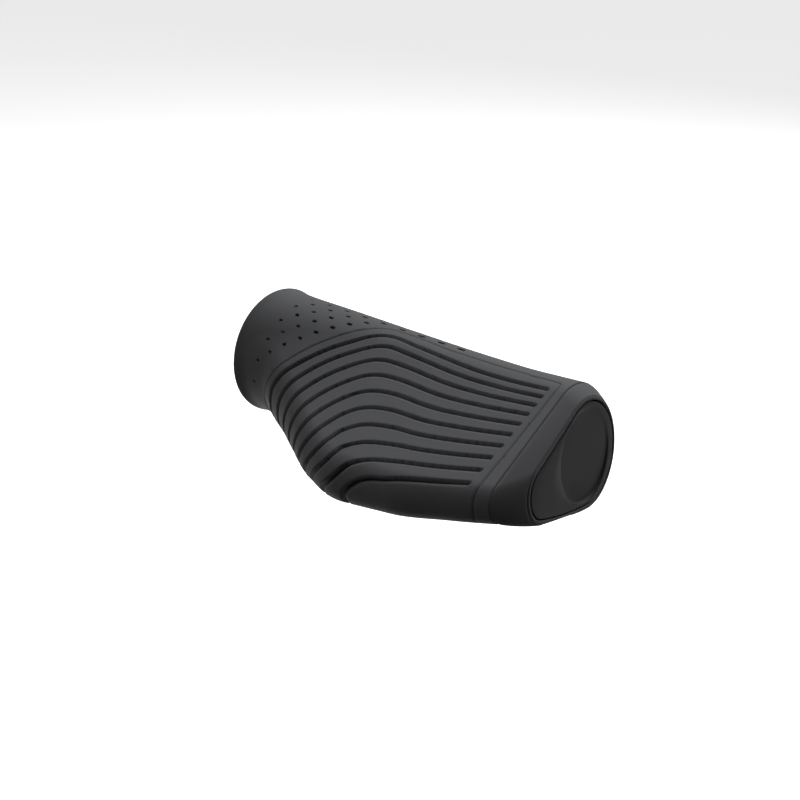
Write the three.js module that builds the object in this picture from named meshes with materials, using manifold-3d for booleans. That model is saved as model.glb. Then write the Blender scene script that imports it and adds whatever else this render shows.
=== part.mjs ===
// Handlebar grip for the right hand: a one-piece rubber moulding with a palm rest, and the hard
// cap that closes its outer end. Millimetres. +X runs along the bar to its open end, +Y points
// away from the rider and +Z is up. The origin is the centre of the bar hole at the inner end.
import * as THREE from 'three';
import { mergeVertices } from 'three/addons/utils/BufferGeometryUtils.js';
import Module from 'manifold-3d';

// Driving dimensions
const BAR_DIAMETER = 22.2;
const SEAM_X = 110.9; // bar axis at the engraved line round the outer end
const BEVEL_LENGTH = 4;
const BEVEL_ROUNDING = 1.08; // 1 is a straight bevel, 2 a quarter round
const END_RISE = 0.125; // how far the end face leans back, per mm up
const END_SWEEP = 0.09; // how far the end face leans back, per mm away from the rider
const LEAN_START = 0.54; // share of the way to the seam
const RIM_ROUNDING = 0.8;
const SEAM_WIDTH = 0.7;
const SEAM_DEPTH = 0.4;

// Outer shape along the bar: [share of the way to the seam, millimetres or degrees]
const ROUND_RADIUS = [
  [0, 19.75], [0.03, 19.05], [0.08, 18.7], [0.22, 18.3], [0.42, 17.6], [0.64, 16.95], [0.81, 16.75],
  [1, 17.45],
];
const PALM_REACH = [
  [0, 0.1], [0.035, 0.2], [0.07, 0.9], [0.125, 2.5], [0.18, 6.1], [0.27, 11.7], [0.36, 18.2],
  [0.5, 28], [0.64, 34], [0.77, 33.7], [0.9, 29.2], [1, 24.9],
];
const PALM_DROOP = [[0, 20], [0.18, 16], [0.41, 9.5], [0.68, 4.8], [1, -0.4]];
const EDGE_RADIUS = [[0, 19.1], [0.08, 17.5], [0.18, 14.8], [0.41, 10.3], [0.68, 7.3], [1, 5.4]];
const END_SECTION = { round: 14.6, reach: 16.6, droop: 3.7, edge: 6.6, hollow: -11 };
const STATIONS = [
  0.027, 0.054, 0.08, 0.117, 0.153, 0.2, 0.25, 0.307, 0.36, 0.415, 0.478, 0.54, 0.613, 0.685, 0.757, 0.83,
  0.9, 0.957,
];
const BEVEL_STATIONS = [0.1, 0.35, 0.6, 0.8, 0.94, 1];
const UNDERSIDE_HOLLOW = 3; // degrees by which the underside turns in where it leaves the palm edge

// Cap and its seat
const LIP = 0.8;
const CAP_GAP = 0.4;
const SEAT_DEPTH = 3;
const SEAT_GAP = 0.3;
const CAP_EDGE = 0.3;
const COLLAR_LENGTH = 6;
const COLLAR_GAP = 0.3;
const COLLAR_WALL = 1.6;
const DISH_RADIUS = 12.8;
const DISH_CENTRE = { y: -2, z: 0 };
const DISH_DEPTH = 0.5;
const DISH_TILT = 0.028; // the dish is deeper towards the palm edge by this much per mm
const DISH_WALL = 0.8;

// Palm panel: four of its grooves as [share of the way to the seam, millimetres round the section
// from the crest towards the rider]; the others blend between them
const DRAWN_GROOVES = {
  0: [
    [0.956, 4], [0.741, 4.5], [0.551, 3], [0.434, 2.7], [0.349, 10], [0.28, 18.1], [0.203, 30.1],
    [0.188, 37.3], [0.175, 46.5],
  ],
  3: [
    [0.955, 14.7], [0.741, 17.5], [0.583, 16.8], [0.506, 17.9], [0.455, 22], [0.405, 29.9], [0.372, 39.8],
    [0.337, 50.5], [0.325, 56],
  ],
  6: [
    [0.952, 27.6], [0.782, 32.7], [0.681, 33.8], [0.608, 36.1], [0.566, 40.4], [0.555, 44], [0.537, 48.6],
    [0.472, 55.5], [0.448, 62.8],
  ],
  9: [
    [0.945, 42.3], [0.87, 45.7], [0.803, 48.7], [0.762, 50.5], [0.721, 51.8], [0.683, 54.5], [0.656, 58.2],
    [0.646, 63], [0.642, 67.5],
  ],
};
const GROOVE_COUNT = 10;
const GROOVE_DEPTH = 1.1;
const GROOVE_FLOOR = 0.75;
const GROOVE_RAMP = 1.15;
const GROOVE_FADE = 5; // length over which a groove runs out under the palm edge
const GROOVE_STEPS = 28;

// Field of small pits between the flare and the palm panel, in rows round the section
const PIT_PITCH = 7.25;
const PIT_ROW_PITCH = 3.48;
const PIT_FIRST_ROUND = 0.6; // how far the row nearest the crest lies from it
const PIT_START = 12.4;
const PIT_START_CURVE = 0.045; // how much nearer the flare, per row squared
const PIT_ROWS_FORWARD = 7;
const PIT_ROWS_BACK = 9;
const PIT_SIZE = [[0, 0.6], [0.08, 1], [0.145, 1.6], [0.33, 2.1], [0.65, 3]];
const PIT_BREADTH = 0.72; // share of its size that a pit measures round the section
const PIT_FLOOR = 0.6; // share of its size that a pit's floor measures
const PIT_DEPTH = 0.7;
const PIT_FIELD = [
  [-26, 0.18], [-2.5, 0.667], [0.6, 0.36], [7.6, 0.302], [18, 0.198], [25, 0.122], [32, 0.104],
];

const AROUND = 48;
const BORE_SIDES = 48;
const OVERSHOOT = 1;
const SLIVER = 0.03;

const wasm = await Module();
wasm.setup();

const rubber = new THREE.MeshStandardMaterial({ color: 0x313236, roughness: 0.62, metalness: 0 });
const hardPlastic = new THREE.MeshStandardMaterial({ color: 0x1f2022, roughness: 0.45, metalness: 0 });

// Smooth curve through [position, value] pairs that never overshoots them.
function through(pairs) {
  const slopes = [];
  for (let i = 0; i < pairs.length - 1; i++) {
    slopes.push((pairs[i + 1][1] - pairs[i][1]) / (pairs[i + 1][0] - pairs[i][0]));
  }
  const tangents = pairs.map((pair, i) => {
    const before = slopes[i - 1] ?? slopes[i];
    const after = slopes[i] ?? before;
    return before * after > 0 ? (2 * before * after) / (before + after) : 0;
  });
  return (at) => {
    const last = pairs.length - 2;
    let i = 0;
    while (i < last && at > pairs[i + 1][0]) i++;
    const width = pairs[i + 1][0] - pairs[i][0];
    const t = THREE.MathUtils.clamp((at - pairs[i][0]) / width, 0, 1);
    const rise = pairs[i + 1][1] - pairs[i][1];
    const curl = (tangents[i] * width - rise) * (1 - t) - (tangents[i + 1] * width - rise) * t;
    return pairs[i][1] + t * rise + t * (1 - t) * curl;
  };
}

const roundRadius = through(ROUND_RADIUS);
const palmReach = through(PALM_REACH);
const palmDroop = through(PALM_DROOP);
const edgeRadius = through(EDGE_RADIUS);
const pitSize = through(PIT_SIZE);
const pitFieldEnd = through(PIT_FIELD);

// Sizes of the cross-section at a place along the bar; past the seam they close in to the end's.
function sectionAt(along) {
  const share = Math.min(along / SEAM_X, 1);
  const size = {
    round: roundRadius(share),
    reach: palmReach(share),
    droop: palmDroop(share),
    hollow: UNDERSIDE_HOLLOW,
    edge: edgeRadius(share),
  };
  const t = THREE.MathUtils.clamp((along - SEAM_X) / BEVEL_LENGTH, 0, 1);
  const closing = 1 - (1 - t ** BEVEL_ROUNDING) ** (1 / BEVEL_ROUNDING);
  for (const key of Object.keys(size)) {
    size[key] = THREE.MathUtils.lerp(size[key], END_SECTION[key], closing);
  }
  return size;
}

function shrink(size, inset) {
  return { ...size, round: size.round - inset, edge: size.edge - inset };
}

// The section: a round part about the bar, a straight flank, the palm edge and a hollow underside.
// It starts at the crest and runs towards the rider.
function sectionPath({ round, reach, droop, edge, hollow }) {
  const span = reach + round - edge;
  const towards = Math.PI + THREE.MathUtils.degToRad(droop);
  const centre = onArc(new THREE.Vector2(), span, towards);
  const half = Math.acos((round - edge) / span);
  const upper = towards - half;
  const turn = THREE.MathUtils.degToRad(hollow) * Math.sin(half) ** 4;
  const lower = towards + half;
  const start = onArc(centre, edge, lower + turn);
  const end = onArc(new THREE.Vector2(), round, lower - turn);
  const handle = start.distanceTo(end) / 3;
  const path = new THREE.Path();
  path.absarc(0, 0, round, Math.PI / 2, upper, false);
  path.absarc(centre.x, centre.y, edge, upper, lower + turn, false);
  path.bezierCurveTo(
    start.x - handle * Math.sin(lower + turn),
    start.y + handle * Math.cos(lower + turn),
    end.x + handle * Math.sin(lower - turn),
    end.y - handle * Math.cos(lower - turn),
    end.x,
    end.y,
  );
  path.absarc(0, 0, round, lower - turn, 2.5 * Math.PI, false);
  return path;
}

function onArc(centre, radius, angle) {
  return new THREE.Vector2(centre.x + radius * Math.cos(angle), centre.y + radius * Math.sin(angle));
}

// Section planes stand square to the bar near the inner end and lean more and more to the end face.
function place(along, y, z) {
  const lean = THREE.MathUtils.smoothstep(along, LEAN_START * SEAM_X, SEAM_X);
  return new THREE.Vector3(along - lean * (END_SWEEP * y + END_RISE * z), y, z);
}

function ring(along, size) {
  const points = sectionPath(size).getSpacedPoints(AROUND);
  points.pop();
  return points.map((p) => place(along, p.x, p.y));
}

function toSolid(geometry) {
  const bare = geometry.toNonIndexed();
  bare.deleteAttribute('normal');
  bare.deleteAttribute('uv');
  const merged = mergeVertices(bare);
  const shape = new wasm.Mesh({
    numProp: 3,
    vertProperties: merged.attributes.position.array,
    triVerts: Uint32Array.from(merged.index.array),
  });
  return new wasm.Manifold(shape);
}

function toMesh(name, solid, material) {
  const shape = solid.getMesh();
  const geometry = new THREE.BufferGeometry();
  geometry.setAttribute('position', new THREE.BufferAttribute(shape.vertProperties, 3));
  geometry.setIndex(new THREE.BufferAttribute(shape.triVerts, 1));
  geometry.computeVertexNormals();
  const mesh = new THREE.Mesh(geometry, material);
  mesh.name = name;
  return mesh;
}

// Closed solid through rings of equal counts, each end closed by a fan about its middle.
function loft(rings) {
  const count = rings[0].length;
  const points = rings.flat();
  const faces = [];
  for (let i = 0; i < rings.length - 1; i++) {
    for (let j = 0; j < count; j++) {
      const a = i * count + j;
      const b = i * count + ((j + 1) % count);
      faces.push(a, b, a + count, b, b + count, a + count);
    }
  }
  for (const [row, flip] of [[0, true], [rings.length - 1, false]]) {
    const middle = new THREE.Vector3();
    rings[row].forEach((p) => middle.addScaledVector(p, 1 / count));
    points.push(middle);
    for (let j = 0; j < count; j++) {
      const a = row * count + j;
      const b = row * count + ((j + 1) % count);
      faces.push(points.length - 1, flip ? b : a, flip ? a : b);
    }
  }
  const geometry = new THREE.BufferGeometry().setFromPoints(points);
  geometry.setIndex(faces);
  return toSolid(geometry);
}

function barCylinder(radius, from, to) {
  const geometry = new THREE.CylinderGeometry(radius, radius, to - from, BORE_SIDES);
  geometry.rotateZ(-Math.PI / 2);
  geometry.translate((from + to) / 2, 0, 0);
  return toSolid(geometry);
}

// Point on the outer surface at a distance round the section from its crest, and the way out.
function surfaceSpot(along, round) {
  const path = sectionPath(sectionAt(along));
  const share = (round / path.getLength() + 1) % 1;
  const p = path.getPointAt(share);
  const tangent = path.getTangentAt(share);
  return {
    at: place(along, p.x, p.y),
    out: new THREE.Vector3(0, tangent.y, -tangent.x).normalize(),
  };
}

// Prism that follows a line on the surface. Its profile is [across, out] from the line, and lift
// raises it at each point of the line.
function sweepOnSurface(line, profile, lift) {
  const spots = line.map(([along, round]) => surfaceSpot(along, round));
  const rings = spots.map(({ at, out }, i) => {
    const before = spots[Math.max(i - 1, 0)].at;
    const after = spots[Math.min(i + 1, spots.length - 1)].at;
    const forward = after.clone().sub(before).normalize();
    const across = new THREE.Vector3().crossVectors(out, forward).normalize();
    return profile.map(([side, height]) =>
      at.clone().addScaledVector(across, side).addScaledVector(out, height + lift(i)));
  });
  return loft(rings);
}

// Points of a groove, each the Lagrange blend by its number of the drawn ones.
function grooveLine(index) {
  const drawn = Object.keys(DRAWN_GROOVES).map(Number);
  const points = DRAWN_GROOVES[drawn[0]].map(() => new THREE.Vector2());
  for (const own of drawn) {
    let weight = 1;
    for (const other of drawn) if (other !== own) weight *= (index - other) / (own - other);
    DRAWN_GROOVES[own].forEach(([share, round], i) => {
      points[i].add(new THREE.Vector2(share * SEAM_X, round).multiplyScalar(weight));
    });
  }
  return new THREE.SplineCurve(points);
}

function grooves() {
  const rampRise = OVERSHOOT * (GROOVE_DEPTH / GROOVE_RAMP);
  const profile = [
    [0, -GROOVE_DEPTH],
    [GROOVE_FLOOR, -GROOVE_DEPTH],
    [GROOVE_FLOOR + GROOVE_RAMP + OVERSHOOT, rampRise],
    [0, OVERSHOOT],
  ];
  const cuts = [];
  for (let index = 0; index < GROOVE_COUNT; index++) {
    const curve = grooveLine(index);
    const line = curve.getSpacedPoints(GROOVE_STEPS).map((p) => [p.x, p.y]);
    const step = curve.getLength() / GROOVE_STEPS;
    const lift = (i) => GROOVE_DEPTH * (1 - Math.min(((GROOVE_STEPS - i) * step) / GROOVE_FADE, 1));
    cuts.push(sweepOnSurface(line, profile, lift));
  }
  return cuts;
}

// One small four-sided pit, wider at its mouth.
function pit(along, round) {
  const half = pitSize(along / SEAM_X) / 2;
  const { at, out } = surfaceSpot(along, round);
  const across = new THREE.Vector3(1, 0, 0).cross(out).normalize();
  const square = (size, height) => [[-1, -1], [-1, 1], [1, 1], [1, -1]].map(([a, b]) =>
    at.clone().addScaledVector(out, height).addScaledVector(across, b * size * PIT_BREADTH)
      .add(new THREE.Vector3(a * size, 0, 0)));
  const slope = (half * (1 - PIT_FLOOR)) / PIT_DEPTH;
  return loft([square(half * PIT_FLOOR, -PIT_DEPTH), square(half + slope * OVERSHOOT, OVERSHOOT)]);
}

// Rows of pits round the section, every other row half a pitch along.
function pits() {
  const cuts = [];
  for (let row = -PIT_ROWS_FORWARD; row <= PIT_ROWS_BACK; row++) {
    const round = PIT_FIRST_ROUND + row * PIT_ROW_PITCH;
    const stagger = row % 2 === 0 ? PIT_PITCH / 2 : 0;
    const start = PIT_START + stagger - PIT_START_CURVE * (row - 1) ** 2;
    const end = pitFieldEnd(round) * SEAM_X;
    for (let along = start; along < end; along += PIT_PITCH) cuts.push(pit(along, round));
  }
  return cuts;
}

function gripBody() {
  const rings = [ring(0, shrink(sectionAt(0), RIM_ROUNDING))];
  rings.push(ring(RIM_ROUNDING, sectionAt(RIM_ROUNDING)));
  for (const share of STATIONS) rings.push(ring(share * SEAM_X, sectionAt(share * SEAM_X)));
  rings.push(ring(SEAM_X - SEAM_WIDTH / 2, sectionAt(SEAM_X)));
  rings.push(ring(SEAM_X, shrink(sectionAt(SEAM_X), SEAM_DEPTH)));
  for (const share of BEVEL_STATIONS) {
    const along = SEAM_X + share * BEVEL_LENGTH;
    rings.push(ring(along, sectionAt(along)));
  }
  return loft(rings);
}

function endPlate(inset, from, to) {
  const size = shrink(END_SECTION, inset);
  return loft([ring(from, size), ring(to, size)]);
}

const END_X = SEAM_X + BEVEL_LENGTH;
const SEAT_X = END_X - SEAT_DEPTH;

function gripSleeve() {
  let solid = gripBody();
  for (const groove of grooves()) solid = solid.subtract(groove);
  solid = solid.subtract(barCylinder(BAR_DIAMETER / 2, -OVERSHOOT, END_X + SEAT_DEPTH));
  solid = solid.subtract(endPlate(LIP, SEAT_X, END_X + OVERSHOOT));
  for (const pit of pits()) solid = solid.subtract(pit);
  return solid.simplify(SLIVER);
}

// Round dish in the cap's face. Its floor turns away from the face, so that it runs out to nothing
// on the far side.
function dish() {
  const disc = (radius, along, tilt) => {
    const points = [];
    for (let i = 0; i < BORE_SIDES; i++) {
      const y = DISH_CENTRE.y + radius * Math.cos((2 * Math.PI * i) / BORE_SIDES);
      const z = DISH_CENTRE.z + radius * Math.sin((2 * Math.PI * i) / BORE_SIDES);
      points.push(new THREE.Vector3(along - (END_SWEEP - tilt) * y - (END_RISE - tilt) * z, y, z));
    }
    return points;
  };
  return loft([
    disc(DISH_RADIUS - DISH_WALL, END_X - DISH_DEPTH, DISH_TILT),
    disc(DISH_RADIUS, END_X, 0),
    disc(DISH_RADIUS + DISH_WALL, END_X + OVERSHOOT, 0),
  ]);
}

// The cap: a plate in the lip's seat and a collar that grips inside the bar hole.
function endCap() {
  const back = SEAT_X + SEAT_GAP;
  const outer = shrink(END_SECTION, LIP + CAP_GAP);
  const plate = loft([
    ring(back, outer),
    ring(END_X - CAP_EDGE, outer),
    ring(END_X, shrink(outer, CAP_EDGE)),
  ]);
  const collarRadius = BAR_DIAMETER / 2 - COLLAR_GAP;
  const collar = barCylinder(collarRadius, SEAT_X - COLLAR_LENGTH, END_X)
    .subtract(barCylinder(collarRadius - COLLAR_WALL, SEAT_X - COLLAR_LENGTH - OVERSHOOT, END_X + OVERSHOOT))
    .subtract(endPlate(-BAR_DIAMETER, (back + END_X - DISH_DEPTH) / 2, END_X + BAR_DIAMETER));
  return plate.add(collar).subtract(dish()).simplify(SLIVER);
}

const grip = new THREE.Group();
grip.add(toMesh('grip_sleeve', gripSleeve(), rubber));
grip.add(toMesh('end_cap', endCap(), hardPlastic));

export default grip;
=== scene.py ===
"""Handlebar grip: a one-piece rubber moulding with a palm rest and the hard cap in its outer end.

The grip's surface is worked out from its cross-sections. A place on it is given in millimetres as
(along the bar from the inner end, round the section from its crest towards the rider).
"""

import math

import bpy
import numpy as np
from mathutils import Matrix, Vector


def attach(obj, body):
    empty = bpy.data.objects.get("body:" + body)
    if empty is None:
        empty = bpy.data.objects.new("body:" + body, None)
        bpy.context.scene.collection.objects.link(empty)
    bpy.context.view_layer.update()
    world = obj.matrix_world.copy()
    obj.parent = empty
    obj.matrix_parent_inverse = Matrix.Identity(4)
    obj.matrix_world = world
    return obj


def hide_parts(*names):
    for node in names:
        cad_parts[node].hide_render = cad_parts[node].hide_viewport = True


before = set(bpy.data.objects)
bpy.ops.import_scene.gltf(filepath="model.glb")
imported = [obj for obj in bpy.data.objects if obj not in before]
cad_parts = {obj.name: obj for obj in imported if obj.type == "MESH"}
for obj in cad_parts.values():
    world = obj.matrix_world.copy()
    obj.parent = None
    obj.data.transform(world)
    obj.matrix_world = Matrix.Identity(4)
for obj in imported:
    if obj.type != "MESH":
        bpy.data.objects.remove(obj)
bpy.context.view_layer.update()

bl_info = {
    "name": "Handlebar Grip",
    "version": (1, 0, 0),
    "blender": (4, 5, 0),
    "location": "3D View > Sidebar > Grip",
    "description": "Builds a palm-rest handlebar grip, its end cap and a studio around it",
    "category": "Add Mesh",
}

MM = 0.001

# Outer shape, in millimetres and degrees; the curves give a size at each share of the way to the seam
SEAM_AT = 110.9
BEVEL_LENGTH = 3.9
BEVEL_ROUNDING = 1.08
END_AT = SEAM_AT + BEVEL_LENGTH
END_RISE = 0.125
END_SWEEP = 0.09
LEAN_FROM = 0.54
ROUND_RADIUS = [
    (0, 19.72), (0.03, 19.05), (0.08, 18.7), (0.22, 18.3), (0.42, 17.6), (0.64, 16.95), (0.81, 16.75),
    (1, 17.45),
]
PALM_REACH = [
    (0, 0.1), (0.035, 0.2), (0.07, 0.9), (0.125, 2.5), (0.18, 6.1), (0.27, 11.7), (0.36, 18.2),
    (0.5, 27.95), (0.64, 33.74), (0.77, 33.44), (0.9, 29.1), (1, 24.9),
]
PALM_DROOP = [(0, 20), (0.18, 16), (0.41, 9.5), (0.68, 4.8), (1, -0.4)]
EDGE_RADIUS = [(0, 19.1), (0.08, 17.5), (0.18, 14.8), (0.41, 10.3), (0.68, 7.3), (1, 5.4)]
UNDERSIDE_HOLLOW = 3.0
RIM_ROUNDING = 0.8
END_EDGE = 0.3

# Sections of the outer end and of the cap's seat: round radius, palm reach, droop, edge radius and turn
# of the underside
END_SECTION = (14.66, 16.18, 4.95, 7.9, -1.6)
SEAT_SECTION = (13.84, 16.09, 4.73, 6.76, -6.7)

# Engraved seam before the bevel as (millimetres from the seam, depth), and the bevel's rings as shares
SEAM_GROOVE = (
    (-0.36, 0), (-0.26, 0.05), (-0.2, 0.25), (-0.12, 0.5), (0.02, 0.56), (0.14, 0.5), (0.2, 0.25),
    (0.28, 0.1), (0.4, 0.03), (0.6, 0),
)
BEVEL_RINGS = (0.24, 0.34, 0.45, 0.56, 0.67, 0.77, 0.85, 0.91, 0.955)

# Inside: the bar hole and the cap's seat; places past the end, such as SEAT_PLACE, have its section
BAR_RADIUS = 11.1
BORE_CHAMFER = 0.4
BORE_RINGS = (90, 5, BORE_CHAMFER)
SEAT_DEPTH = 3.0
SEAT_AT = END_AT - SEAT_DEPTH
SEAT_PLACE = END_AT + 1.0
SEAT_EDGE = 0.15

# Cap
CAP_GAP = 0.4
CAP_LIFT = 0.3
CAP_EDGE = 0.3
COLLAR_RADIUS = 10.8
COLLAR_WALL = 1.6
COLLAR_END = SEAT_AT - 6.0
DISH_RADIUS = 12.8
DISH_CENTRE = -2.0
DISH_WALL = 0.8
DISH_DEPTH = 0.5
DISH_TILT = 0.028
DISH_FLOOR_RADII = (2, 4, 6, 8, 10, 11)

# Palm panel: four of its ten grooves as (share of the way to the seam, millimetres round the section
# from the crest); the others blend between them
GROOVE_COUNT = 10
DRAWN_GROOVES = {
    0: [
        (0.956, 4), (0.741, 4.5), (0.551, 3), (0.434, 2.7), (0.349, 10), (0.28, 18.1), (0.203, 30.1),
        (0.188, 37.3), (0.175, 46.5),
    ],
    3: [
        (0.955, 14.7), (0.741, 17.5), (0.583, 16.8), (0.506, 17.9), (0.455, 22), (0.405, 29.9),
        (0.372, 39.8), (0.337, 50.5), (0.325, 56),
    ],
    6: [
        (0.952, 27.6), (0.782, 32.7), (0.681, 33.8), (0.608, 36.1), (0.566, 40.4), (0.555, 44),
        (0.537, 48.6), (0.472, 55.5), (0.448, 62.8),
    ],
    9: [
        (0.945, 42.3), (0.87, 45.7), (0.803, 48.7), (0.762, 50.5), (0.721, 51.8), (0.683, 54.5),
        (0.656, 58.2), (0.646, 63), (0.642, 67.5),
    ],
}
GROOVE_POINTS = 70
GROOVE_FADE = 5.0
GROOVE_END_LEAN = 0.035
GROOVE_WALL = 0.28
GROOVE_RISE = 0.45
GROOVE_WIDENING = 0.5
RAMP_FROM = 0.3
CREASE_HEIGHT = 0.05
CREASE_WIDTH = 0.2
PANEL_OUTLINE = [
    (0.961, 0.7), (0.793, 0.3), (0.631, 0.3), (0.523, -0.8), (0.451, -0.8), (0.41, 0), (0.37, 3.1),
    (0.316, 9.1), (0.261, 15.8), (0.211, 23.6), (0.173, 29.6), (0.135, 35.8), (0.117, 43), (0.144, 51.5),
    (0.243, 57.5), (0.361, 64.5), (0.496, 70.5), (0.649, 74), (0.811, 73.5), (0.911, 69.5), (0.953, 61),
    (0.965, 46), (0.969, 36), (0.973, 20), (0.974, 5.5), (0.971, 1.8),
]
OUTLINE_POINTS = 220

# Field of small pits between the flare and the palm panel, in rows round the section
PIT_PITCH = 7.25
PIT_ROW_PITCH = 3.48
PIT_FIRST_AROUND = 0.6
PIT_START = 12.4
PIT_START_CURVE = 0.045
PIT_ROWS = range(-7, 10)
PIT_SIZE = [(0, 1.3), (0.08, 1.45), (0.145, 1.7), (0.33, 2.2), (0.65, 3)]
PIT_BREADTH = 0.52
PIT_SLANT = 0.3
PIT_CORNER = 0.4
PIT_WALL = 0.28
PIT_FIELD = [
    (-26, 0.18), (-2.5, 0.667), (0.6, 0.36), (7.6, 0.302), (18, 0.198), (25, 0.122), (32, 0.104),
]

# Painted shade in the grooves and pits: depth at which a recess has its full painted shade, and the share of
# the colour that this takes away
PAINTED_SHADE_FULL_DEPTH = 0.9
PAINTED_SHADE_SHARE = 0.85

# Grid of the surface: rings from the rim, close together between RINGS_FROM and RINGS_TO, and points
# round each ring, close together between the shares FINE_FROM and FINE_TO of the girth
RIM_RINGS = 12
RINGS_ALONG = 282
RINGS_FROM = 6.0
RINGS_TO = SEAM_AT - 0.55
POINTS_AROUND = 296
FINE_FROM = -0.06
FINE_TO = 0.46
FINE_POINTS = int(POINTS_AROUND * 0.66)

# Moulded detail lies between two places round the section, and stays clear of the rim and of the seam
DETAIL_FROM = -32
DETAIL_TO = 84
RIM_CLEAR = (1.5, 3)
SEAM_CLEAR = (SEAM_AT - 1.6, SEAM_AT - 2.4)
GROOVE_REACH = 3.2

# How the edges of the detail draw the grid's points to them
ALIGNMENT = 0.88
ALIGNED_BEFORE = 0.55
ALIGNED_PAST_GROOVE = 2.6
GATHER_NEAR = 0.19
GATHER_FAR = 0.55

# Studio, in metres: each lamp's place and width, what the camera looks at, and the floor
LAMPS = {
    "back_lamp": ((0.05, 1.05, 0.95), 1.3),
    "left_lamp": ((-0.9, -0.05, 0.85), 1.2),
    "front_lamp": ((-0.05, -0.8, 1.0), 1.2),
}
LAMPS_AIM = (0.055, 0, 0)
CAMERA_AIM = (0.04999, 0, -0.00322)
FLOOR_HALF = 8.0
FLOOR_LIT = 0.02
FLOOR_SEEN = 0.85
FLOOR_GLOW = 0.8


class GripSizes(bpy.types.PropertyGroup):
    """Sizes of the moulded detail and colours of the finishes."""

    groove_depth: bpy.props.FloatProperty(
        name="Groove depth", description="Depth of the palm panel's grooves, in millimetres", default=1.45)
    groove_floor: bpy.props.FloatProperty(
        name="Groove floor", description="Width of a groove's floor, in millimetres", default=0.6)
    groove_ramp: bpy.props.FloatProperty(
        name="Groove ramp", description="Width of the slope from floor to rib, in millimetres", default=1.15)
    ramp_depth: bpy.props.FloatProperty(
        name="Ramp depth", description="Depth at the foot of the groove's shallow ramp, in millimetres",
        default=0.4)
    line_depth: bpy.props.FloatProperty(
        name="Line depth", description="Depth of the engraved line round the panel, in millimetres",
        default=0.5)
    line_width: bpy.props.FloatProperty(
        name="Line width", description="Width of the engraved line, in millimetres", default=0.5)
    pit_depth: bpy.props.FloatProperty(
        name="Pit depth", description="Depth of the small pits, in millimetres", default=1.0)
    rubber: bpy.props.FloatVectorProperty(
        name="Rubber", description="Colour of the moulded rubber", subtype="COLOR",
        default=(0.082, 0.083, 0.087))
    cap_plastic: bpy.props.FloatVectorProperty(
        name="Cap plastic", description="Colour of the cap", subtype="COLOR",
        default=(0.031, 0.031, 0.032))


class StudioSizes(bpy.types.PropertyGroup):
    """Camera, lamps and floor."""

    azimuth: bpy.props.FloatProperty(
        name="Azimuth", description="Camera's turn about the object", default=math.radians(40.92),
        subtype="ANGLE")
    elevation: bpy.props.FloatProperty(
        name="Elevation", description="Camera's height angle", default=math.radians(23.3), subtype="ANGLE")
    distance: bpy.props.FloatProperty(
        name="Distance", description="Camera to the point it looks at", default=0.37395, unit="LENGTH")
    lens: bpy.props.FloatProperty(
        name="Lens", description="Focal length in millimetres on a 36 mm sensor", default=57.87)
    floor_depth: bpy.props.FloatProperty(
        name="Floor depth", description="Height of the floor below the bar", default=0.3, unit="LENGTH")
    back_light: bpy.props.FloatProperty(
        name="Back light", description="Power of the large lamp above and behind, in watts", default=29.5)
    left_light: bpy.props.FloatProperty(
        name="Left light", description="Power of the lamp above and to the left, in watts", default=3.8)
    front_light: bpy.props.FloatProperty(
        name="Front light", description="Power of the lamp above and in front, in watts", default=4.0)
    sky: bpy.props.FloatProperty(
        name="Sky", description="Strength of the even light from all round", default=0.02)


def smooth_through(pairs):
    """Piecewise cubic through (position, value) pairs; each slope is the harmonic mean of its neighbours'."""
    at, value = np.array(pairs, float).T
    slope = np.diff(value) / np.diff(at)
    before = np.concatenate([slope[:1], slope])
    after = np.concatenate([slope, slope[-1:]])
    total = np.where(before + after == 0, 1, before + after)
    tangent = np.where(before * after > 0, 2 * before * after / total, 0)

    def curve(x):
        i = np.clip(np.searchsorted(at, x) - 1, 0, len(at) - 2)
        width = at[i + 1] - at[i]
        t = np.clip((x - at[i]) / width, 0, 1)
        rise = value[i + 1] - value[i]
        curl = (tangent[i] * width - rise) * (1 - t) - (tangent[i + 1] * width - rise) * t
        return value[i] + t * rise + t * (1 - t) * curl

    return curve


SECTION_CURVES = [smooth_through(pairs) for pairs in (ROUND_RADIUS, PALM_REACH, PALM_DROOP, EDGE_RADIUS)]


def smoothstep(low, high, x):
    """0 below low, 1 above high and 3t^2 - 2t^3 between."""
    t = np.clip((x - low) / (high - low), 0, 1)
    return t * t * (3 - 2 * t)


def section_sizes(along, inset=0.0):
    """Round radius, palm reach, droop, edge radius and the underside's turn; past the seam they close in
    to the end section, and past the end they are those of the cap's seat."""
    share = np.minimum(along / SEAM_AT, 1)
    t = np.clip((along - SEAM_AT) / BEVEL_LENGTH, 0, 1)
    closing = 1 - (1 - t ** BEVEL_ROUNDING) ** (1 / BEVEL_ROUNDING)
    starts = [curve(share) for curve in SECTION_CURVES] + [UNDERSIDE_HOLLOW]
    sizes = [size + (last - size) * closing for size, last in zip(starts, END_SECTION)]
    inner = along > END_AT
    sizes = [np.where(inner, own, size) for own, size in zip(SEAT_SECTION, sizes)]
    radius, reach, droop, edge, hollow = sizes
    return radius - inset, reach, np.radians(droop), edge - inset, np.radians(hollow)


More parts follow.
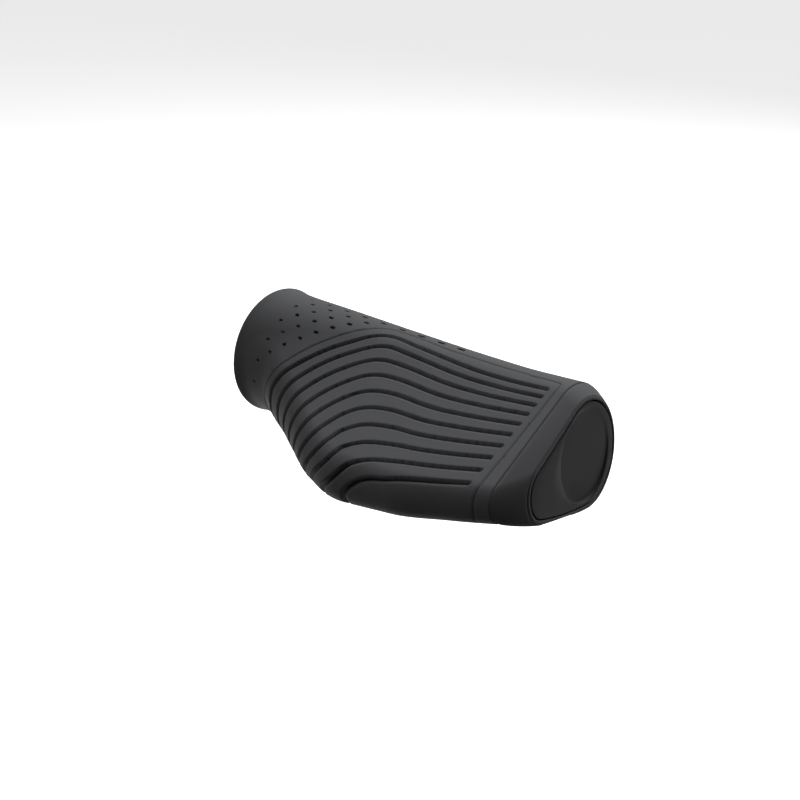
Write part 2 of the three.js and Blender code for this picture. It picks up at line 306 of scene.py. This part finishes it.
def section_frame(along, inset=0.0):
    """The section's five stretches: round arc, straight flank, edge arc, hollow underside, round arc."""
    radius, reach, droop, edge, hollow = section_sizes(along, inset)
    span = reach + radius - edge
    towards = np.pi + droop
    centre = (span * np.cos(towards), span * np.sin(towards))
    half = np.arccos(np.clip((radius - edge) / span, -1, 1))
    turn = hollow * np.sin(half) ** 4
    upper = towards - half
    leave = towards + half + turn
    meet = towards + half - turn
    start = (centre[0] + edge * np.cos(leave), centre[1] + edge * np.sin(leave))
    end = (radius * np.cos(meet), radius * np.sin(meet))
    handle = np.hypot(end[0] - start[0], end[1] - start[1]) / 3
    second = (start[0] - handle * np.sin(leave), start[1] + handle * np.cos(leave))
    third = (end[0] + handle * np.sin(meet), end[1] - handle * np.cos(meet))
    controls = (start, second, third, end)
    steps = [cubic(controls, t) for t in np.linspace(0, 1, 13)]
    underside = sum(np.hypot(b[0] - a[0], b[1] - a[1]) for a, b in zip(steps, steps[1:]))
    flank = np.sqrt(span ** 2 - (radius - edge) ** 2)
    lengths = (radius * (upper - np.pi / 2), flank, edge * (leave - upper), underside,
               radius * (2.5 * np.pi - meet))
    return radius, edge, centre, upper, meet, controls, lengths


def cubic(controls, t):
    """Cubic Bezier point at t."""
    weights = ((1 - t) ** 3, 3 * t * (1 - t) ** 2, 3 * t * t * (1 - t), t ** 3)
    return tuple(sum(w * c[k] for w, c in zip(weights, controls)) for k in (0, 1))


def girth(along, inset=0.0):
    """Length right round the section."""
    return sum(section_frame(along, inset)[-1])


def surface_point(along, around, inset=0.0):
    """Point of the outer surface at a length round the section from its crest, in millimetres."""
    radius, edge, centre, upper, meet, controls, lengths = section_frame(along, inset)
    flank_from, edge_from, under_from, back_from, whole = np.cumsum(np.broadcast_arrays(*lengths), axis=0)
    at = np.mod(around, whole)
    arc = np.pi / 2 + at / radius
    down = at - flank_from
    nose = upper + (at - edge_from) / edge
    under = cubic(controls, np.clip((at - under_from) / lengths[3], 0, 1))
    back = meet + (at - back_from) / radius
    where = [at < flank_from, at < edge_from, at < under_from, at < back_from]
    y = np.select(where, [
        radius * np.cos(arc), radius * np.cos(upper) - down * np.sin(upper), centre[0] + edge * np.cos(nose),
        under[0]], radius * np.cos(back))
    z = np.select(where, [
        radius * np.sin(arc), radius * np.sin(upper) + down * np.cos(upper), centre[1] + edge * np.sin(nose),
        under[1]], radius * np.sin(back))
    return lean(along, y, z)


def on_end_plane(at, y, z):
    """Where the end face's plane, set at a length along the axis, lies over y and z."""
    return at - END_SWEEP * y - END_RISE * z


def lean(along, y, z):
    """Section planes stand square near the inner end and lean back smoothly to the end face."""
    share = smoothstep(LEAN_FROM * SEAM_AT, SEAM_AT, along)
    return np.stack([along - share * (END_SWEEP * y + END_RISE * z), y + 0 * along, z + 0 * along], -1)


def surface_normal(along, around):
    """Cross product of the surface's two central differences, pointing out."""
    step = 0.05
    by_length = surface_point(along + step, around) - surface_point(along - step, around)
    by_girth = surface_point(along, around + step) - surface_point(along, around - step)
    normal = np.cross(by_girth, by_length)
    return normal / np.linalg.norm(normal, axis=-1, keepdims=True)


def spline(points, count, closed=False):
    """Catmull-Rom curve through the points, count samples evenly spaced by length."""
    p = np.array(points, float)
    n = len(p) if closed else len(p) - 1
    t = np.linspace(0, n, 40 * n, endpoint=not closed)
    i = np.minimum(t.astype(int), n - 1)
    w = (t - i)[:, None]

    def pick(k):
        return p[k % len(p)] if closed else p[np.clip(k, 0, len(p) - 1)]

    before, a, b, after = pick(i - 1), pick(i), pick(i + 1), pick(i + 2)
    leave, meet = (b - before) / 2, (after - a) / 2
    fine = a + w * leave + w ** 2 * (3 * (b - a) - 2 * leave - meet) + w ** 3 * (2 * (a - b) + leave + meet)
    if closed:
        fine = np.vstack([fine, fine[:1]])
    length = np.concatenate([[0], np.cumsum(np.linalg.norm(np.diff(fine, axis=0), axis=1))])
    even = np.linspace(0, length[-1], count)
    return np.stack([np.interp(even, length, fine[:, k]) for k in (0, 1)], 1)


def groove_lines():
    """Each groove is the Lagrange blend, by its number, of the four that are drawn."""
    lines = []
    for number in range(GROOVE_COUNT):
        blend = 0
        for own, points in DRAWN_GROOVES.items():
            others = [other for other in DRAWN_GROOVES if other != own]
            weight = np.prod([(number - other) / (own - other) for other in others])
            blend = blend + weight * np.array(points) * (SEAM_AT, 1)
        lines.append(spline(blend, GROOVE_POINTS))
    return lines


def extended(line):
    """The groove's line carried on outboard, so that its end can be cut square."""
    back = line[0] - line[1]
    return np.vstack([line[0] + back * (3 / np.linalg.norm(back)), line])


def end_of(line, around):
    """Where a groove stops short of the panel's outer border, which leans with the section."""
    return line[0, 0] - GROOVE_END_LEAN * (around - line[0, 1])


def from_line(places, line):
    """Signed distance from a line, positive towards the rider where it runs inboard, the way of growing
    distance, how far along the line it is nearest, and the line's length."""
    start, step = line[:-1], np.diff(line, axis=0)
    square = (step ** 2).sum(1)
    nearest = np.full(len(places), np.inf)
    offset = np.zeros((len(places), 2))
    position = np.zeros(len(places))
    side = np.ones(len(places))
    reached = 0.0
    for a, ab, sq in zip(start, step, square):
        t = np.clip(((places - a) @ ab) / sq, 0, 1)
        gap = places - a - t[:, None] * ab
        distance = np.hypot(gap[:, 0], gap[:, 1])
        closer = distance < nearest
        nearest = np.where(closer, distance, nearest)
        offset = np.where(closer[:, None], gap, offset)
        position = np.where(closer, reached + t * math.sqrt(sq), position)
        side = np.where(closer, np.sign(ab[1] * gap[:, 0] - ab[0] * gap[:, 1]), side)
        reached += math.sqrt(sq)
    way = offset / np.maximum(nearest, 1e-9)[:, None]
    return nearest * side, way * side[:, None], position, reached


def pit_places():
    """Rows of pits round the section, every other row half a pitch along, with each one's half size."""
    field_end = smooth_through(PIT_FIELD)
    size = smooth_through(PIT_SIZE)
    places = []
    for row in PIT_ROWS:
        around = PIT_FIRST_AROUND + row * PIT_ROW_PITCH
        shift = PIT_PITCH / 2 if row % 2 == 0 else 0
        start = PIT_START + shift - PIT_START_CURVE * (row - 1) ** 2
        for along in np.arange(start, field_end(around) * SEAM_AT, PIT_PITCH):
            places.append((along, around, size(along / SEAM_AT) / 2))
    return np.array(places)


def from_pits(places, pits):
    """Signed distance from the nearest pit's rounded outline, negative inside, and the way out of it."""
    nearest = np.full(len(places), np.inf)
    way = np.zeros((len(places), 2))
    for along, around, half in pits:
        gap = (places - (along, around)) @ np.array([[1, 0], [-PIT_SLANT, 1]])
        corner = PIT_CORNER * half
        beyond = np.abs(gap) - (half - corner, half * PIT_BREADTH - corner)
        outside = np.maximum(beyond, 0)
        distance = np.hypot(outside[:, 0], outside[:, 1]) + np.minimum(beyond.max(1), 0) - corner
        closer = distance < nearest
        nearest = np.where(closer, distance, nearest)
        steer = np.where(beyond.max(1, keepdims=True) > 0, outside, beyond >= beyond.max(1, keepdims=True))
        steer = steer * np.sign(gap)
        steer = steer / np.maximum(np.linalg.norm(steer, axis=1, keepdims=True), 1e-9)
        way = np.where(closer[:, None], steer, way)
    return nearest, way


def gather(places, distance, way):
    """Snaps places within GATHER_NEAR of a line onto it; the pull dies out by GATHER_FAR."""
    pull = distance * (1 - smoothstep(GATHER_NEAR, GATHER_FAR, np.abs(distance)))
    return places - way * pull[:, None]


def spacing(places, way):
    """Distance between neighbouring places of the fine grid, across a line whose normal is the given way."""
    around = girth(places[:, 0]) * (FINE_TO - FINE_FROM) / FINE_POINTS
    along = (RINGS_TO - RINGS_FROM) / (RINGS_ALONG - 1)
    return np.hypot(way[:, 0] * along, way[:, 1] * around)


def align(places, distance, way, low, high):
    """Moves places onto the nearest of the lines that run beside a line, one grid spacing apart."""
    pitch = np.maximum(spacing(places, way), 0.05)
    step = np.round(distance / pitch) * pitch - distance
    step = np.where((distance > low) & (distance < high), step, 0)
    return places + way * (step * ALIGNMENT)[:, None]


def groove_profile(distance, position, length, sizes):
    """Height across a groove: a steep wall at 0, a floor, a short rise, a shallow ramp up to a crease and
    then the flat rib. The floor widens inboard and the whole fades at the far end."""
    depth, ramp = sizes.groove_depth, sizes.groove_ramp
    floor = sizes.groove_floor + GROOVE_WIDENING * smoothstep(0.5 * length, 0.8 * length, position)
    wall = np.clip(distance / GROOVE_WALL, 0, 1)
    rise = smoothstep(floor, floor + GROOVE_RISE, distance) * (depth - sizes.ramp_depth)
    climb = np.clip((distance - floor - RAMP_FROM) / (ramp - RAMP_FROM), 0, 1) * sizes.ramp_depth
    crease = CREASE_HEIGHT * np.exp(-((distance - floor - ramp) / CREASE_WIDTH) ** 2)
    fade = smoothstep(length, length - GROOVE_FADE, position)
    return ((rise + climb - depth) * wall + crease) * fade


def grip_detail(places, sizes):
    """The places drawn to the edges of the moulded detail, its height over the plain surface there, and
    the distance from the nearest pit's outline."""
    lines = groove_lines()
    outline = spline(np.array(PANEL_OUTLINE) * (SEAM_AT, 1), OUTLINE_POINTS, closed=True)
    pits = pit_places()
    free = smoothstep(*SEAM_CLEAR, places[:, 0]) * smoothstep(*RIM_CLEAR, places[:, 0])
    near = (places[:, 1] > DETAIL_FROM) & (places[:, 1] < DETAIL_TO) & (free > 0)
    moved = places[near].copy()
    for line in lines:
        distance, way, _, _ = from_line(moved, extended(line))
        moved = align(moved, distance, way, -ALIGNED_BEFORE, ALIGNED_PAST_GROOVE)
    distance, way, _, _ = from_line(moved, outline)
    moved = align(moved, distance, way, -ALIGNED_BEFORE, ALIGNED_BEFORE)
    distance, way = from_pits(moved, pits)
    moved = gather(moved, distance, way)
    share = free[near][:, None]
    moved = places[near] + (moved - places[near]) * share

    height = np.zeros(len(moved))
    for line in lines:
        distance, _, position, length = from_line(moved, extended(line))
        own = groove_profile(distance, position, length, sizes)
        end = smoothstep(0.15, -0.15, moved[:, 0] - end_of(line, moved[:, 1]))
        height += np.where(np.abs(distance) < GROOVE_REACH, own * end, 0)
    distance, _, _, _ = from_line(moved, outline)
    half = sizes.line_width / 2
    height -= sizes.line_depth * (1 - smoothstep(0.25 * half, 1.15 * half, np.abs(distance)))
    distance, _ = from_pits(moved, pits)
    height -= sizes.pit_depth * (1 - smoothstep(-PIT_WALL, 0, distance))

    result = places.copy()
    result[near] = moved
    heights = np.zeros(len(places))
    heights[near] = height
    pit_edge = np.ones(len(places))
    pit_edge[near] = np.minimum(distance, 1)
    return result, heights, pit_edge


def shares_around():
    """Shares of the girth, close together over the palm panel and wider apart elsewhere."""
    dense = np.linspace(FINE_FROM, FINE_TO, FINE_POINTS, endpoint=False)
    wide = np.linspace(FINE_TO, 1 + FINE_FROM, POINTS_AROUND - FINE_POINTS, endpoint=False)
    return np.concatenate([dense, wide])


def quarter(count):
    """Sine and cosine at evenly spaced angles from 0 to a quarter turn, as pairs."""
    angles = np.linspace(0, np.pi / 2, count)
    return list(zip(np.sin(angles), np.cos(angles)))


def grip_rings(sizes):
    """Rings from the inner rim outboard over the surface, the end and the seat, and back through the bar
    hole, with the height of the detail and the distance from the pits at each of their points."""
    shares = shares_around()
    body = np.concatenate([
        np.linspace(RIM_ROUNDING, RINGS_FROM, RIM_RINGS, endpoint=False),
        np.linspace(RINGS_FROM, RINGS_TO, RINGS_ALONG)])
    along = np.repeat(body, POINTS_AROUND)
    around = (girth(body)[:, None] * shares).ravel()
    places, own_height, own_pit_edge = grip_detail(np.stack([along, around], 1), sizes)
    surface = surface_point(places[:, 0], places[:, 1])
    surface += own_height[:, None] * surface_normal(places[:, 0], places[:, 1])

    def plain(at, inset, plane=None):
        spot = np.full(POINTS_AROUND, float(at))
        points = surface_point(spot, girth(spot, inset) * shares, inset)
        if plane is not None:
            points[:, 0] = on_end_plane(plane, points[:, 1], points[:, 2])
        return points

    rim = [plain(RIM_ROUNDING * (1 - cos), RIM_ROUNDING * (1 - sin)) for sin, cos in quarter(6)[:-1]]
    seam = [plain(SEAM_AT + step, depth) for step, depth in SEAM_GROOVE]
    bevel = [plain(SEAM_AT + share * BEVEL_LENGTH, 0) for share in BEVEL_RINGS]
    edge = [plain(END_AT, END_EDGE * (1 - cos), END_AT - END_EDGE * (1 - sin)) for sin, cos in quarter(5)]
    lip = [plain(SEAT_PLACE, -SEAT_EDGE * (1 - sin), END_AT - SEAT_EDGE * (1 - cos))
           for sin, cos in quarter(4)]
    seat = [plain(SEAT_PLACE, inset, plane) for inset, plane in (
        (0, END_AT - 0.6), (0, SEAT_AT + 0.2), (0.15, SEAT_AT))]
    rings = rim + list(surface.reshape(len(body), POINTS_AROUND, 3)) + seam + bevel + edge + lip + seat

    angle = np.pi / 2 + 2 * np.pi * shares
    bore = BAR_RADIUS * np.stack([0 * angle, np.cos(angle), np.sin(angle)], 1)
    mouth = bore.copy()
    mouth[:, 0] = on_end_plane(SEAT_AT, bore[:, 1], bore[:, 2])
    rings += [mouth * (1, 1.03, 1.03), mouth - (0.3, 0, 0)]
    rings += [bore + (at, 0, 0) for at in BORE_RINGS]
    rings += [bore * (1 + beyond / BAR_RADIUS) for beyond in (BORE_CHAMFER, 3)]

    detailed = slice(len(rim) * POINTS_AROUND, (len(rim) + len(body)) * POINTS_AROUND)
    height = np.zeros(len(rings) * POINTS_AROUND)
    height[detailed] = own_height
    pit_edge = np.ones(len(rings) * POINTS_AROUND)
    pit_edge[detailed] = own_pit_edge
    return np.array(rings), height, pit_edge


def torus_faces(rows, columns):
    """Quads of a grid that closes on itself both ways."""
    i, j = np.meshgrid(np.arange(rows), np.arange(columns), indexing="ij")
    down, right = (i + 1) % rows, (j + 1) % columns
    corners = [i * columns + j, down * columns + j, down * columns + right, i * columns + right]
    return np.stack([c.ravel() for c in corners], 1)


def folded_faces(quads, height):
    """Each quad as two triangles, cut along the diagonal whose ends differ less in height."""
    a, b, c, d = quads.T
    level = (np.abs(height[a] - height[c]) <= np.abs(height[b] - height[d]))[:, None]
    first = np.where(level, np.stack([a, b, c], 1), np.stack([a, b, d], 1))
    second = np.where(level, np.stack([a, c, d], 1), np.stack([b, c, d], 1))
    return np.vstack([first, second])


def make_piece(name, points, faces, material, node):
    """A smooth-shaded mesh in metres that rides on the root body in place of its solid."""
    mesh = bpy.data.meshes.new(name)
    mesh.from_pydata((points * MM).tolist(), [], faces)
    mesh.polygons.foreach_set("use_smooth", np.ones(len(mesh.polygons), bool))
    mesh.materials.append(material)
    mesh.update()
    piece = bpy.data.objects.new(name, mesh)
    bpy.context.scene.collection.objects.link(piece)
    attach(piece, "root")
    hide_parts(node)
    return piece


def cap_rings():
    """Rings from the middle of the dish over the face and its edge, round the collar to its closed back."""
    angle = np.linspace(0, 2 * np.pi, POINTS_AROUND, endpoint=False) + np.pi / 2

    def disc(radius, at, middle=0.0, tilt=0.0):
        y, z = middle + radius * np.cos(angle), radius * np.sin(angle)
        return np.stack([at - (END_SWEEP - tilt) * y - (END_RISE - tilt) * z, y, z], 1)

    def plate(inset, plane):
        whole = girth(SEAT_PLACE, inset)
        fine = whole * np.linspace(0, 1, 4 * len(angle), endpoint=False)
        outline = surface_point(np.full(len(fine), SEAT_PLACE), fine, inset)
        bearing = np.unwrap(np.arctan2(outline[:, 2], outline[:, 1] - DISH_CENTRE))
        turn = np.array([[-1], [0], [1]])
        around = np.interp(angle, (bearing + turn * 2 * np.pi).ravel(), (fine + turn * whole).ravel())
        points = surface_point(np.full(len(angle), SEAT_PLACE), around, inset)
        points[:, 0] = on_end_plane(plane, points[:, 1], points[:, 2])
        return points

    dish_floor = END_AT - DISH_DEPTH
    floor = [disc(radius, dish_floor, DISH_CENTRE, DISH_TILT) for radius in DISH_FLOOR_RADII]
    low = disc(DISH_RADIUS - DISH_WALL, dish_floor, DISH_CENTRE, DISH_TILT)
    high = disc(DISH_RADIUS, END_AT, DISH_CENTRE)
    wall = [low + (high - low) * (smoothstep(0, 1, t), t, t)
            for t in (0, 0.12, 0.25, 0.38, 0.5, 0.62, 0.75, 0.88, 1)]
    brink = plate(CAP_GAP + CAP_EDGE, END_AT)
    face = [high + (brink - high) * t for t in (0.3, 0.65)]
    edge = [plate(CAP_GAP + CAP_EDGE * (1 - sin), END_AT - CAP_EDGE * (1 - cos)) for sin, cos in quarter(7)]
    back = SEAT_AT + CAP_LIFT
    side = [plate(CAP_GAP, END_AT - 1), plate(CAP_GAP, back + 0.1), plate(CAP_GAP + 0.1, back)]
    shoulder = [disc(COLLAR_RADIUS + 0.3, back), disc(COLLAR_RADIUS, back - 0.3)]

    def collar(radius, at):
        return np.stack([at + 0 * angle, radius * np.cos(angle), radius * np.sin(angle)], 1)

    inner = COLLAR_RADIUS - COLLAR_WALL
    tube = [collar(COLLAR_RADIUS, COLLAR_END + 3), collar(COLLAR_RADIUS, COLLAR_END + 0.3),
            collar(COLLAR_RADIUS - 0.3, COLLAR_END), collar(inner + 0.3, COLLAR_END),
            collar(inner, COLLAR_END + 0.3)]
    hidden = [disc(inner, back - 0.3), disc(inner - 0.3, back), disc(4, back)]
    return np.array(floor + wall + face + edge + side + shoulder + tube + hidden)


def closed_tube_faces(rows, columns):
    """Quads of a grid that closes round, with a fan to one added point at each end."""
    i, j = np.meshgrid(np.arange(rows - 1), np.arange(columns), indexing="ij")
    right = (j + 1) % columns
    quads = np.stack([c.ravel() for c in (
        i * columns + j, (i + 1) * columns + j, (i + 1) * columns + right, i * columns + right)], 1)
    start, end = rows * columns, rows * columns + 1
    j = np.arange(columns)
    right = (j + 1) % columns
    last = (rows - 1) * columns
    first_fan = np.stack([start + 0 * j, j, right], 1)
    last_fan = np.stack([end + 0 * j, last + right, last + j], 1)
    return quads.tolist() + first_fan.tolist() + last_fan.tolist()


def new_group(name, inputs, outputs):
    """A shader node group with float or vector sockets."""
    group = bpy.data.node_groups.new(name, "ShaderNodeTree")
    for label, kind, default in inputs:
        socket = group.interface.new_socket(label, in_out="INPUT", socket_type=kind)
        if default is not None:
            socket.default_value = default
    for label, kind in outputs:
        group.interface.new_socket(label, in_out="OUTPUT", socket_type=kind)
    return group, group.nodes.new("NodeGroupInput"), group.nodes.new("NodeGroupOutput")


def maths(tree, operation, a, b):
    """A Math node whose inputs are sockets or plain numbers."""
    node = tree.nodes.new("ShaderNodeMath")
    node.operation = operation
    for socket, value in zip(node.inputs, (a, b)):
        if isinstance(value, (int, float)):
            socket.default_value = value
        else:
            tree.links.new(value, socket)
    return node.outputs[0]


def moulded_grain_group():
    """Fine spark-eroded grain: two sizes of noise for the height, a slow noise for patches of tone."""
    group, given, result = new_group(
        "moulded_grain",
        [("Vector", "NodeSocketVector", None), ("Grain size", "NodeSocketFloat", 3000.0)],
        [("Height", "NodeSocketFloat"), ("Patches", "NodeSocketFloat")])
    noises = []
    for share, detail in ((1.0, 2.0), (0.28, 1.0), (0.02, 3.0)):
        noise = group.nodes.new("ShaderNodeTexNoise")
        noise.inputs["Detail"].default_value = detail
        group.links.new(given.outputs["Vector"], noise.inputs["Vector"])
        group.links.new(maths(group, "MULTIPLY", given.outputs["Grain size"], share), noise.inputs["Scale"])
        noises.append(noise.outputs["Fac"])
    height = maths(group, "ADD", noises[0], maths(group, "MULTIPLY", noises[1], 0.8))
    group.links.new(height, result.inputs["Height"])
    group.links.new(noises[2], result.inputs["Patches"])
    return group


def painted_recess_shade(tree, tone, colour):
    """Painted shade: the surface's tone made darker by the depth of the groove or pit that the place lies in,
    in place of the shade that falls there.
    """
    depth = tree.nodes.new("ShaderNodeAttribute")
    depth.attribute_name = "recess"
    edge = tree.nodes.new("ShaderNodeAttribute")
    edge.attribute_name = "pit_edge"
    inside = tree.nodes.new("ShaderNodeMapRange")
    inside.interpolation_type = "SMOOTHSTEP"
    inside.inputs["From Min"].default_value = 0.08
    inside.inputs["From Max"].default_value = -0.1
    tree.links.new(edge.outputs["Fac"], inside.inputs["Value"])
    hollow = maths(tree, "MAXIMUM", depth.outputs["Fac"], inside.outputs["Result"])
    shade = tree.nodes.new("ShaderNodeMix")
    shade.data_type = "RGBA"
    tree.links.new(hollow, shade.inputs["Factor"])
    tree.links.new(tone, shade.inputs["A"])
    # Painted shade: the grooves and pits take this darker copy of the surface's colour
    shade.inputs["B"].default_value = (*[c * (1 - PAINTED_SHADE_SHARE) for c in colour], 1)
    return shade.outputs["Result"]


def grain_material(name, colour, lighter, roughness, grain_size, grain_depth, specular, painted_recesses=False):
    """Principled surface whose colour and roughness drift with the patches and whose bump is the grain; on
    the rubber, the colour also takes painted shade in the grooves and pits.
    """
    material = bpy.data.materials.new(name)
    material.use_nodes = True
    tree = material.node_tree
    shader = tree.nodes["Principled BSDF"]
    shader.inputs["Specular IOR Level"].default_value = specular
    shader.inputs["Metallic"].default_value = 0.0
    place = tree.nodes.new("ShaderNodeTexCoord").outputs["Object"]
    grain = tree.nodes.new("ShaderNodeGroup")
    grain.node_tree = bpy.data.node_groups.get("moulded_grain") or moulded_grain_group()
    grain.inputs["Grain size"].default_value = grain_size
    tree.links.new(place, grain.inputs["Vector"])
    tone = tree.nodes.new("ShaderNodeMix")
    tone.data_type = "RGBA"
    tone.inputs["A"].default_value = (*colour, 1)
    tone.inputs["B"].default_value = (*[c * lighter for c in colour], 1)
    tree.links.new(grain.outputs["Patches"], tone.inputs["Factor"])
    shown = tone.outputs["Result"]
    # Painted shade in the grooves and pits, drawn from the recess depth and the pit outline
    if painted_recesses:
        shown = painted_recess_shade(tree, shown, colour)
    tree.links.new(shown, shader.inputs["Base Color"])
    drift = maths(tree, "MULTIPLY", maths(tree, "SUBTRACT", grain.outputs["Patches"], 0.5), 0.16)
    tree.links.new(maths(tree, "ADD", drift, roughness), shader.inputs["Roughness"])
    bump = tree.nodes.new("ShaderNodeBump")
    bump.inputs["Strength"].default_value = 0.5
    bump.inputs["Distance"].default_value = grain_depth
    tree.links.new(grain.outputs["Height"], bump.inputs["Height"])
    tree.links.new(bump.outputs["Normal"], shader.inputs["Normal"])
    return material


def floor_material():
    """Pale floor; what the camera and reflections see is lifted to white and keeps the shadow."""
    material = bpy.data.materials.new("pale_floor")
    material.use_nodes = True
    tree = material.node_tree
    tree.nodes.remove(tree.nodes["Principled BSDF"])
    path = tree.nodes.new("ShaderNodeLightPath")
    seen = maths(tree, "MAXIMUM", path.outputs["Is Camera Ray"], path.outputs["Is Glossy Ray"])
    seen = maths(tree, "MAXIMUM", seen, path.outputs["Is Transmission Ray"])
    tone = tree.nodes.new("ShaderNodeMix")
    tone.data_type = "RGBA"
    tone.inputs["A"].default_value = (*[FLOOR_LIT] * 3, 1)
    tone.inputs["B"].default_value = (*[FLOOR_SEEN] * 3, 1)
    tree.links.new(seen, tone.inputs["Factor"])
    diffuse = tree.nodes.new("ShaderNodeBsdfDiffuse")
    tree.links.new(tone.outputs["Result"], diffuse.inputs["Color"])
    glow = tree.nodes.new("ShaderNodeEmission")
    tree.links.new(maths(tree, "MULTIPLY", seen, FLOOR_GLOW), glow.inputs["Strength"])
    both = tree.nodes.new("ShaderNodeAddShader")
    tree.links.new(diffuse.outputs["BSDF"], both.inputs[0])
    tree.links.new(glow.outputs["Emission"], both.inputs[1])
    tree.links.new(both.outputs["Shader"], tree.nodes["Material Output"].inputs["Surface"])
    return material


def studio_world(strength):
    """Even light all round; the camera and transmission rays see white behind everything."""
    world = bpy.data.worlds.new("studio")
    world.use_nodes = True
    tree = world.node_tree
    path = tree.nodes.new("ShaderNodeLightPath")
    seen = maths(tree, "MAXIMUM", path.outputs["Is Camera Ray"], path.outputs["Is Transmission Ray"])
    lift = maths(tree, "MULTIPLY", seen, 1 - strength)
    tree.links.new(maths(tree, "ADD", lift, strength), tree.nodes["Background"].inputs["Strength"])
    tree.nodes["Background"].inputs["Color"].default_value = (1, 1, 1, 1)
    bpy.context.scene.world = world


class GRIP_OT_sleeve(bpy.types.Operator):
    """Make the rubber grip with its grooves, pits and engraved lines"""
    bl_idname = "grip.sleeve"
    bl_label = "Rubber Grip"

    def execute(self, context):
        sizes = context.scene.grip_sizes
        rings, height, pit_edge = grip_rings(sizes)
        faces = folded_faces(torus_faces(*rings.shape[:2]), height).tolist()
        rubber = grain_material(
            "rubber", sizes.rubber, lighter=1.12, roughness=0.62, grain_size=3200.0, grain_depth=0.00004,
            specular=0.05, painted_recesses=True)
        grip = make_piece("rubber_grip", rings.reshape(-1, 3), faces, rubber, "grip_sleeve")
        # Recess depth for the painted shade in the grooves and pits
        recess = np.clip(-height / PAINTED_SHADE_FULL_DEPTH, 0, 1)
        for name, values in (("recess", recess), ("pit_edge", pit_edge)):
            grip.data.attributes.new(name, "FLOAT", "POINT").data.foreach_set("value", values)
        return {"FINISHED"}


class GRIP_OT_cap(bpy.types.Operator):
    """Make the hard cap with its shallow round dish"""
    bl_idname = "grip.cap"
    bl_label = "End Cap"

    def execute(self, context):
        sizes = context.scene.grip_sizes
        rings = cap_rings()
        dish_middle = END_AT - DISH_DEPTH - (END_SWEEP - DISH_TILT) * DISH_CENTRE
        middle = np.array([[dish_middle, DISH_CENTRE, 0], [SEAT_AT + CAP_LIFT, 0, 0]])
        points = np.vstack([rings.reshape(-1, 3), middle])
        faces = closed_tube_faces(*rings.shape[:2])
        plastic = grain_material(
            "hard_plastic", sizes.cap_plastic, lighter=1.1, roughness=0.5, grain_size=4200.0,
            grain_depth=0.00002, specular=0.04)
        make_piece("cap", points, faces, plastic, "end_cap")
        return {"FINISHED"}


class GRIP_OT_studio(bpy.types.Operator):
    """Make the pale floor, the soft light and the camera"""
    bl_idname = "grip.studio"
    bl_label = "Studio"

    def execute(self, context):
        studio = context.scene.grip_studio
        scene = context.scene
        scene.view_settings.view_transform = "Standard"
        square = ((-1, -1), (1, -1), (1, 1), (-1, 1))
        corners = [(x * FLOOR_HALF, y * FLOOR_HALF, -studio.floor_depth) for x, y in square]
        mesh = bpy.data.meshes.new("floor")
        mesh.from_pydata(corners, [], [(0, 1, 2, 3)])
        mesh.materials.append(floor_material())
        floor = bpy.data.objects.new("floor", mesh)
        scene.collection.objects.link(floor)
        studio_world(studio.sky)

        powers = (studio.back_light, studio.left_light, studio.front_light)
        for (name, (place, width)), power in zip(LAMPS.items(), powers):
            light = bpy.data.lights.new(name, "AREA")
            light.shape = "DISK"
            light.size = width
            light.energy = power
            lamp = bpy.data.objects.new(name, light)
            lamp.location = place
            aim = Vector(LAMPS_AIM) - lamp.location
            lamp.rotation_euler = aim.to_track_quat("-Z", "Y").to_euler()
            scene.collection.objects.link(lamp)

        camera = bpy.data.cameras.new("camera")
        camera.lens = studio.lens
        camera.clip_start = 0.01
        eye = bpy.data.objects.new("camera", camera)
        turn, height = studio.azimuth, studio.elevation
        level = math.cos(height)
        back = Vector((math.sin(turn) * level, -math.cos(turn) * level, math.sin(height)))
        eye.location = Vector(CAMERA_AIM) + back * studio.distance
        eye.rotation_euler = back.to_track_quat("Z", "Y").to_euler()
        scene.collection.objects.link(eye)
        scene.camera = eye
        return {"FINISHED"}


class GRIP_PT_panel(bpy.types.Panel):
    """Lists the grip's sizes and its steps"""
    bl_idname = "GRIP_PT_panel"
    bl_label = "Handlebar Grip"
    bl_space_type = "VIEW_3D"
    bl_region_type = "UI"
    bl_category = "Grip"

    def draw(self, context):
        for group in (context.scene.grip_sizes, context.scene.grip_studio):
            for name in group.__annotations__:
                self.layout.prop(group, name)
        for operator in (GRIP_OT_studio, GRIP_OT_sleeve, GRIP_OT_cap):
            self.layout.operator(operator.bl_idname)


CLASSES = (GripSizes, StudioSizes, GRIP_OT_sleeve, GRIP_OT_cap, GRIP_OT_studio, GRIP_PT_panel)


def register():
    """Adds the classes and the scene's two groups of sizes."""
    for cls in CLASSES:
        bpy.utils.register_class(cls)
    bpy.types.Scene.grip_sizes = bpy.props.PointerProperty(type=GripSizes)
    bpy.types.Scene.grip_studio = bpy.props.PointerProperty(type=StudioSizes)


def unregister():
    """Takes them away again."""
    del bpy.types.Scene.grip_studio
    del bpy.types.Scene.grip_sizes
    for cls in reversed(CLASSES):
        bpy.utils.unregister_class(cls)


def main():
    """Builds the scene."""
    register()
    bpy.ops.grip.studio()
    bpy.ops.grip.sleeve()
    bpy.ops.grip.cap()


if __name__ == "__main__":
    main()
